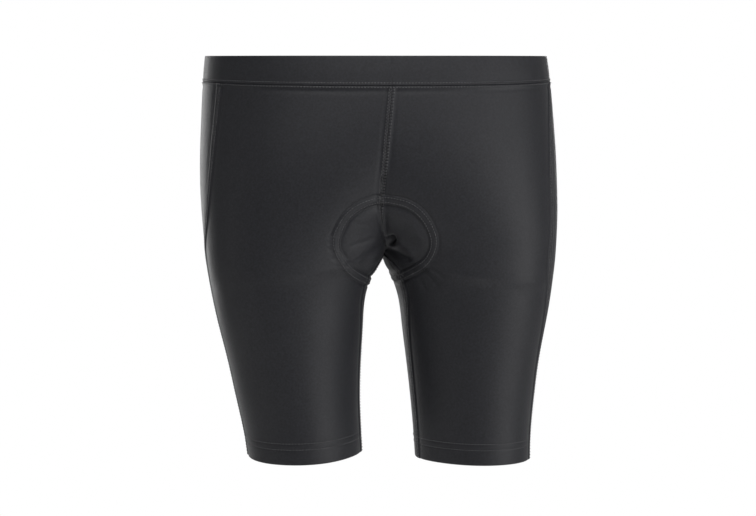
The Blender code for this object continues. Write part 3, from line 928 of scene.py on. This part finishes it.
def startMaterial(name, finish):
    # a principled shader with its uniform values on its own sockets
    material = bpy.data.materials.new(name)
    material.use_nodes = True
    shader = material.node_tree.nodes["Principled BSDF"]
    shader.inputs["Roughness"].default_value = finish["roughness"]
    shader.inputs["Specular IOR Level"].default_value = 0.5
    shader.inputs["Sheen Weight"].default_value = finish["sheen"]
    shader.inputs["Sheen Roughness"].default_value = 0.35
    return material, material.node_tree, shader


def addNode(tree, kind, values=(), **settings):
    # a node with its settings and its sockets' values
    node = tree.nodes.new(kind)
    for key, value in settings.items():
        setattr(node, key, value)
    for key, value in dict(values).items():
        node.inputs[key].default_value = value
    return node


def patchyColour(tree, shader, finish, scale):
    # the two colours mixed by a fine noise on Object coordinates
    place = addNode(tree, "ShaderNodeTexCoord")
    noise = addNode(tree, "ShaderNodeTexNoise", {"Scale": scale, "Detail": 3, "Roughness": 0.55})
    ramp = addNode(tree, "ShaderNodeValToRGB")
    ramp.color_ramp.elements[0].position = 0.35
    ramp.color_ramp.elements[1].position = 0.68
    ramp.color_ramp.elements[0].color = finish["dark"] + (1,)
    ramp.color_ramp.elements[1].color = finish["light"] + (1,)
    tree.links.new(place.outputs["Object"], noise.inputs["Vector"])
    tree.links.new(noise.outputs["Fac"], ramp.inputs["Fac"])
    tree.links.new(ramp.outputs["Color"], shader.inputs["Base Color"])
    return place


def makeKnit(name, finish):
    # bump: wales and courses as two sine bands in millimetres, and a fine speckle of uneven loops
    material, tree, shader = startMaterial(name, finish)
    place = patchyColour(tree, shader, finish, knitGrain["patches"])
    toMm = addNode(tree, "ShaderNodeMapping", {"Scale": (100, 100, 100)})
    tree.links.new(place.outputs["UV"], toMm.inputs["Vector"])
    waleValues = {"Scale": waveScale / knitGrain["wale"], "Distortion": 0.4}
    wale = addNode(tree, "ShaderNodeTexWave", waleValues, bands_direction="X")
    courseValues = {"Scale": waveScale / knitGrain["course"], "Distortion": 0.3}
    course = addNode(tree, "ShaderNodeTexWave", courseValues, bands_direction="Y")
    speckleValues = {"Scale": knitGrain["speckle"], "Detail": 2, "Roughness": 0.7}
    speckle = addNode(tree, "ShaderNodeTexNoise", speckleValues)
    for node in (wale, course, speckle):
        tree.links.new(toMm.outputs["Vector"], node.inputs["Vector"])
    loops = addNode(tree, "ShaderNodeMath", operation="MULTIPLY")
    tree.links.new(wale.outputs["Fac"], loops.inputs[0])
    tree.links.new(course.outputs["Fac"], loops.inputs[1])
    uneven = addNode(tree, "ShaderNodeMath", operation="ADD")
    tree.links.new(loops.outputs["Value"], uneven.inputs[0])
    tree.links.new(speckle.outputs["Fac"], uneven.inputs[1])
    bumpValues = {"Strength": knitGrain["strength"], "Distance": knitGrain["height"]}
    bumpNode = addNode(tree, "ShaderNodeBump", bumpValues)
    tree.links.new(uneven.outputs["Value"], bumpNode.inputs["Height"])
    tree.links.new(bumpNode.outputs["Normal"], shader.inputs["Normal"])
    return material


def makeNoisy(name, finish, grain):
    # a fine noise for the bump: brushed loops on the pad, uneven glints of the strands on thread
    material, tree, shader = startMaterial(name, finish)
    place = patchyColour(tree, shader, finish, grain["patches"])
    fineValues = {"Scale": grain["scale"], "Detail": grain["detail"], "Roughness": grain["roughness"]}
    fine = addNode(tree, "ShaderNodeTexNoise", fineValues)
    tree.links.new(place.outputs["Object"], fine.inputs["Vector"])
    bumpValues = {"Strength": grain["strength"], "Distance": grain["height"]}
    bumpNode = addNode(tree, "ShaderNodeBump", bumpValues)
    tree.links.new(fine.outputs["Fac"], bumpNode.inputs["Height"])
    tree.links.new(bumpNode.outputs["Normal"], shader.inputs["Normal"])
    return material


grains = {
    "thread": {
        "patches": 260, "scale": 2600, "detail": 1, "roughness": 0.5, "strength": 0.5, "height": 0.00008,
    },
    "fleece": {
        "patches": 120, "scale": 900, "detail": 3, "roughness": 0.7, "strength": 0.7, "height": 0.0003,
    },
}
panelKnit = makeKnit("panelKnit", knit)
bandKnit = makeKnit("bandKnit", bandFinish)
sewingThread = makeNoisy("sewingThread", threadPaintedGlintFinish, grains["thread"])
padFleece = makeNoisy("padFleece", fleeceFinish, grains["fleece"])

for face in ("front", "back"):
    for side in ("right", "left"):
        makePanel(face, side, panelKnit)
waistCasing = makeWaistband(bandKnit)
saddlePad = makePad(padFleece)

print("sewing the seams")


def sewRise(face):
    # the middle seam, from under the waist seam to the crotch
    names = [face + "_" + side for side in ("right", "left")]
    return sewSeam(*[gridLine(name, edgeColumn, riseRows(name)) for name in names])


def sewLegSeams(side):
    # inseam on the lower rows, side seam on all rows
    runs = []
    lower = {f: slice(int(np.sum(~grids[f + "_" + side]["isLower"])), None) for f in ("front", "back")}
    full = {f: slice(needle["sideFirstRow"], None) for f in ("front", "back")}
    for column, rows in ((edgeColumn, lower), (-edgeColumn, full)):
        runs += sewSeam(*[gridLine(f + "_" + side, column, rows[f]) for f in ("front", "back")])
    return runs


def sewHem(side):
    # two straight rows round the leg at the hem's row heights
    runs = []
    for height in hem["rows"]:
        for face in ("front", "back"):
            grid = grids[face + "_" + side]
            lift = np.where(grid["isHem"], grid["lift"], np.inf)
            row = int(np.argmin(np.abs(lift - height)))
            runs += sewRows((worn(grid["outer"][row], side), mirrored(grid["normal"][row], side)))[0]
    return runs


def sewRing():
    # outer and inner needle rows of the pad's outline on both sides
    runs = []
    for side in ("right", "left"):
        runs += sewSeam(*[ringLine(inset, side) for inset in ringBand["rows"]])
    return runs


def sewWaist():
    # a row on the casing above the joint and one on the panels below it
    runs = []
    halves, share, depth = (grids["waistband"][key] for key in ("halves", "share", "depth"))
    outside = depth > band["outside"]
    target = 1 - needle["waistBand"] / cut["bandFront"]
    row = int(np.argmin(np.where(outside, np.abs(share - target), np.inf)))
    for side, half in zip(("left", "right"), halves):
        n = unit(np.cross(np.gradient(half[row], axis=0), [0, 0, 1.0]))
        n = n * np.sign(np.sum(n * half[row] * [1, 1, 0], axis=-1, keepdims=True))
        runs += sewRows((half[row], n))[0]
        for face in ("front", "back"):
            grid = grids[face + "_" + side]
            low = int(needle["waistPanel"] / panel["edgeStep"])
            runs += sewRows((worn(grid["outer"][low], side), mirrored(grid["normal"][low], side)))[0]
    return runs


threads = {
    "rise_front_thread": sewRise("front"),
    "rise_back_thread": sewRise("back"),
    "leg_right_thread": sewLegSeams("right"),
    "leg_left_thread": sewLegSeams("left"),
    "hem_right_thread": sewHem("right"),
    "hem_left_thread": sewHem("left"),
    "ring_thread": sewRing(),
    "waist_thread": sewWaist(),
}
for name, runs in threads.items():
    addThreads(name, runs, sewingThread)


# Stage: a pale floor as far below the waist as a wearer's feet, and a white studio round it
stage = {"floorDrop": 0.98, "floorHalf": 3.4, "front": 0.05, "behind": 0.2}


def makeFloor():
    # one square below the shorts
    half, z = stage["floorHalf"], -stage["floorDrop"]
    corners = np.array([[-half, -half, z], [half, -half, z], [half, half, z], [-half, half, z]]) / mm
    floor = addMesh("studio_floor", corners, [np.array([[0, 1, 2, 3]])])
    material = bpy.data.materials.new("studioFloor")
    material.use_nodes = True
    material.node_tree.nodes["Principled BSDF"].inputs["Base Color"].default_value = (0.9, 0.9, 0.9, 1)
    material.node_tree.nodes["Principled BSDF"].inputs["Roughness"].default_value = 0.8
    floor.data.materials.append(material)


def makeSurround():
    # the camera sees plain white; the cloth is lit by a white wall behind it that dims towards the front
    world = bpy.data.worlds.new("studioWhite")
    world.use_nodes = True
    tree = world.node_tree
    tree.nodes.clear()
    seen = addNode(tree, "ShaderNodeBackground", {"Color": (1, 1, 1, 1), "Strength": 1.0})
    lit = addNode(tree, "ShaderNodeBackground", {"Color": (1, 1, 1, 1)})
    place = addNode(tree, "ShaderNodeTexCoord")
    axes = addNode(tree, "ShaderNodeSeparateXYZ")
    fadeValues = {"From Min": -0.25, "From Max": 0.5, "To Min": stage["front"], "To Max": stage["behind"]}
    fade = addNode(tree, "ShaderNodeMapRange", fadeValues, interpolation_type="SMOOTHSTEP")
    tree.links.new(place.outputs["Generated"], axes.inputs["Vector"])
    tree.links.new(axes.outputs["Y"], fade.inputs["Value"])
    tree.links.new(fade.outputs["Result"], lit.inputs["Strength"])
    path = addNode(tree, "ShaderNodeLightPath")
    mix = addNode(tree, "ShaderNodeMixShader")
    out = addNode(tree, "ShaderNodeOutputWorld")
    tree.links.new(path.outputs["Is Camera Ray"], mix.inputs["Fac"])
    tree.links.new(lit.outputs["Background"], mix.inputs[1])
    tree.links.new(seen.outputs["Background"], mix.inputs[2])
    tree.links.new(mix.outputs["Shader"], out.inputs["Surface"])
    bpy.context.scene.world = world


# Lights by azimuth and height round the shorts, in degrees and metres; azimuth 0 is in front. A key on the
# right, a weak fill on the left, one overhead and two behind for the back
lampColumns = ("name", "azimuth", "height", "distance", "width", "tall", "power")
lamps = (
    ("keySoftbox", 55, 0.1, 1.8, 0.9, 1.4, 10),
    ("fillSoftbox", -70, 0.1, 2.0, 0.6, 1.4, 2),
    ("overheadSoftbox", 0, 1.6, 1.4, 1.6, 0.8, 20),
    ("rearSoftbox", 165, 0.7, 2.4, 1.2, 1.2, 26),
    ("rearLeftSoftbox", -150, 0.4, 2.2, 0.8, 1.4, 10),
)


def makeLamp(lamp):
    # an area lamp turned to the middle of the shorts
    turn = math.radians(lamp["azimuth"])
    place = np.array([math.sin(turn), -math.cos(turn), 0]) * lamp["distance"] + [0, 0, lamp["height"] - 0.2]
    light = bpy.data.lights.new(lamp["name"], "AREA")
    light.shape = "RECTANGLE"
    light.size, light.size_y = lamp["width"], lamp["tall"]
    light.energy = lamp["power"]
    holder = bpy.data.objects.new(lamp["name"], light)
    bpy.context.scene.collection.objects.link(holder)
    aim(holder, place, (0, 0, -0.2))


def aim(holder, place, target):
    # place it and turn its own -Z towards the target
    holder.location = Vector(place)
    holder.rotation_euler = (Vector(target) - Vector(place)).to_track_quat("-Z", "Y").to_euler()


# Camera: level, a little to the wearer's right, so that a millimetre at the axis is one pixel
view = {"azimuth": -6.5, "height": -0.202, "distance": 2.0, "pixels": 756, "sensor": 36.0}


def makeCamera():
    # focal length = distance * sensor / (pixels * mm)
    turn = math.radians(view["azimuth"])
    place = (math.sin(turn) * view["distance"], -math.cos(turn) * view["distance"], view["height"])
    lens = bpy.data.cameras.new("studioCamera")
    lens.sensor_width = view["sensor"]
    lens.lens = view["distance"] * view["sensor"] / (view["pixels"] * mm)
    holder = bpy.data.objects.new("studioCamera", lens)
    bpy.context.scene.collection.objects.link(holder)
    aim(holder, place, (0, 0, view["height"]))
    bpy.context.scene.camera = holder


makeFloor()
makeSurround()
for row in lamps:
    makeLamp(dict(zip(lampColumns, row)))
makeCamera()
bpy.context.scene.view_settings.view_transform = "Standard"
